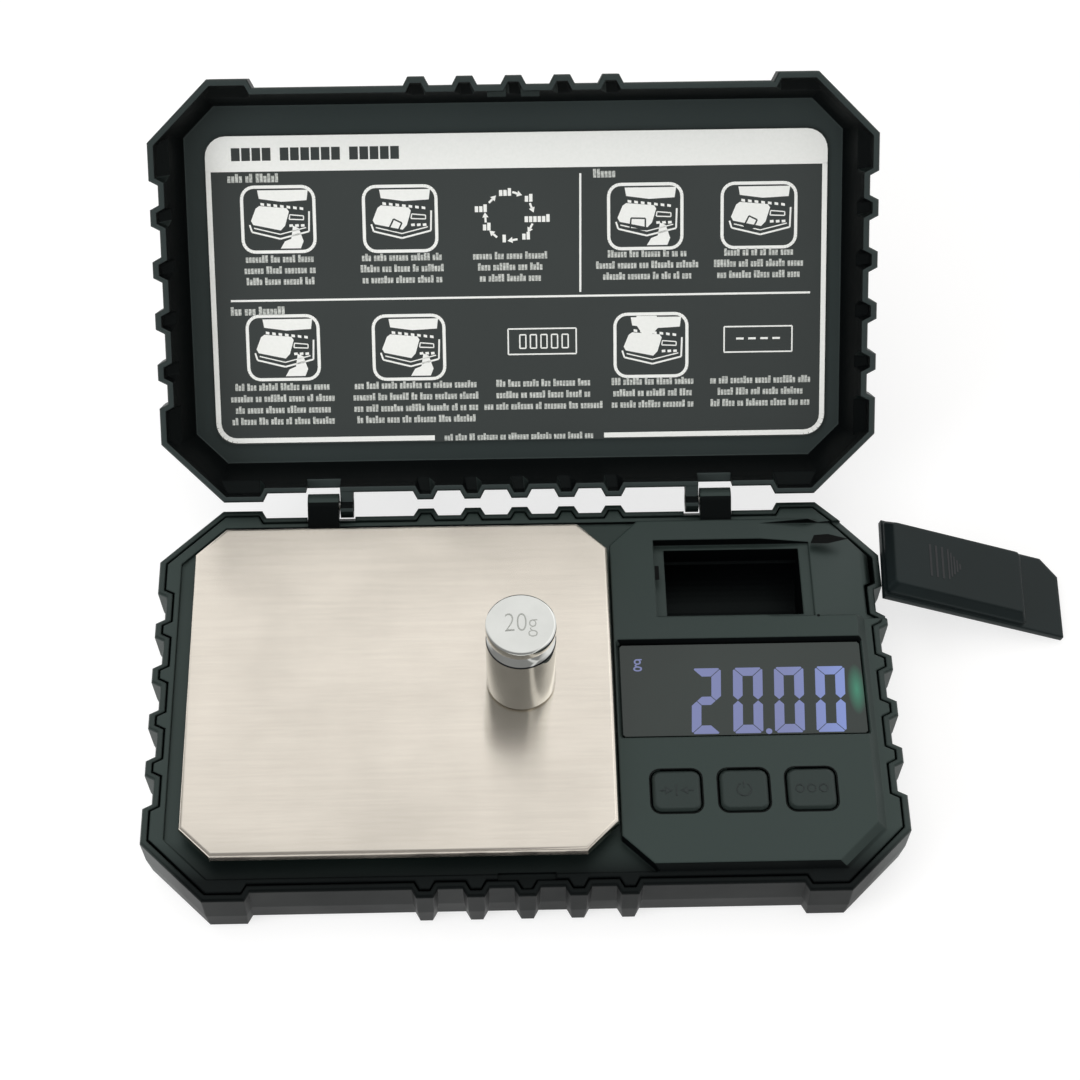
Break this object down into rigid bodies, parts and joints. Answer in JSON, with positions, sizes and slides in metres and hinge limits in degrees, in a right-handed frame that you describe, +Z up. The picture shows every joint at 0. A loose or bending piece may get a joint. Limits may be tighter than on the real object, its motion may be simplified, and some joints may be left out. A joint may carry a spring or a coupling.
{
  "type": "digital gram scale",
  "caption": "Folding pocket gram scale with a hinged tray lid, steel platform, backlit display, sprung buttons, storage well with sliding cover, battery door and check weight.",
  "frame": {"origin": "centre of the case's flat underside", "axes": "+X to the right as the display is read, +Y towards the lid hinge, +Z up"},
  "size_m": [0.1781, 0.148, 0.0773],
  "materials": {
    "case_plastic": "moulded ABS, fine matt texture",
    "black_plastic": "moulded ABS and printed card, satin",
    "rubber": "matt rubber",
    "steel": "stainless steel, brushed along its length",
    "polished_steel": "turned and polished steel",
    "aluminium": "milled aluminium",
    "board": "glass-fibre board with green solder mask",
    "display_glass": "glass over a reflective display",
    "white_plastic": "white plastic and silicone",
    "cell_jacket": "printed film jacket on a dry cell",
    "red_pvc": "PVC insulation"
  },
  "bodies": {
    "case": {"aaa_cell_1": "cell_jacket", "aaa_cell_2": "cell_jacket", "backlight": "white_plastic", "battery_lead_black": "rubber", "battery_lead_red": "red_pvc", "bottom_case": "case_plastic", "case_screw_1": "steel", "case_screw_2": "steel", "case_screw_3": "steel", "case_screw_4": "steel", "cell_screw_1": "steel", "cell_screw_2": "steel", "circuit_board": "board", "contact_plate_1": "steel", "contact_plate_2": "steel", "contact_spring_1": "steel", "contact_spring_2": "steel", "contact_spring_plate_1": "steel", "contact_spring_plate_2": "steel", "contact_strip": "rubber", "controller_chip": "black_plastic", "display_window": "display_glass", "foot_1": "rubber", "foot_2": "rubber", "foot_3": "rubber", "foot_4": "rubber", "gauge_lead": "white_plastic", "gauge_sealant": "white_plastic", "hinge_pin_left": "steel", "hinge_pin_right": "steel", "keypad_membrane": "rubber", "lcd_glass": "display_glass", "load_cell": "aluminium", "top_case": "case_plastic"},
    "platform": {"platform_pan": "steel", "platform_tray": "black_plastic", "tray_screw_1": "steel", "tray_screw_2": "steel"},
    "lid": {"lid_shell": "case_plastic", "lid_label": "black_plastic"},
    "weight": {"check_weight": "polished_steel"},
    "cover": {"storage_cover": "black_plastic"},
    "door": {"battery_door": "case_plastic"},
    "tare_key": {"tare_button": "case_plastic"},
    "power_key": {"power_button": "case_plastic"},
    "mode_key": {"mode_button": "case_plastic"}
  },
  "joints": [
    {"name": "lid_hinge", "type": "hinge", "parent": "case", "child": "lid", "pos_m": [0, 0.042, 0.0156], "axis": [1, 0, 0], "range_deg": [0, 133]},
    {"name": "weight_turn", "type": "hinge", "parent": "case", "child": "weight", "pos_m": [-0.0004, -0.0301, 0.0194], "axis": [1, 0, 0], "range_deg": [0, 180]},
    {"name": "cover_swing", "type": "hinge", "parent": "case", "child": "cover", "pos_m": [0.0417, 0.02415, -0.11365], "axis": [0.1064, -0.9768, 0.1857], "range_deg": [0, 19.54]},
    {"name": "door_hinge", "type": "hinge", "parent": "case", "child": "door", "pos_m": [-0.0432, -0.0236, 0], "axis": [0, 1, 0], "range_deg": [0, 95]},
    {"name": "platform_travel", "type": "slide", "parent": "case", "child": "platform", "axis": [0, 0, -1], "range_m": [0, 0.0002], "stiffness_N_per_m": 8000},
    {"name": "tare_press", "type": "slide", "parent": "case", "child": "tare_key", "axis": [0, 0, -1], "range_m": [0, 0.0005], "stiffness_N_per_m": 300},
    {"name": "power_press", "type": "slide", "parent": "case", "child": "power_key", "axis": [0, 0, -1], "range_m": [0, 0.0005], "stiffness_N_per_m": 300},
    {"name": "mode_press", "type": "slide", "parent": "case", "child": "mode_key", "axis": [0, 0, -1], "range_m": [0, 0.0005], "stiffness_N_per_m": 300}
  ],
  "couplings": [
    {"joint": "weight_turn", "follows": "lid_hinge", "ratio": 1.3533}
  ]
}
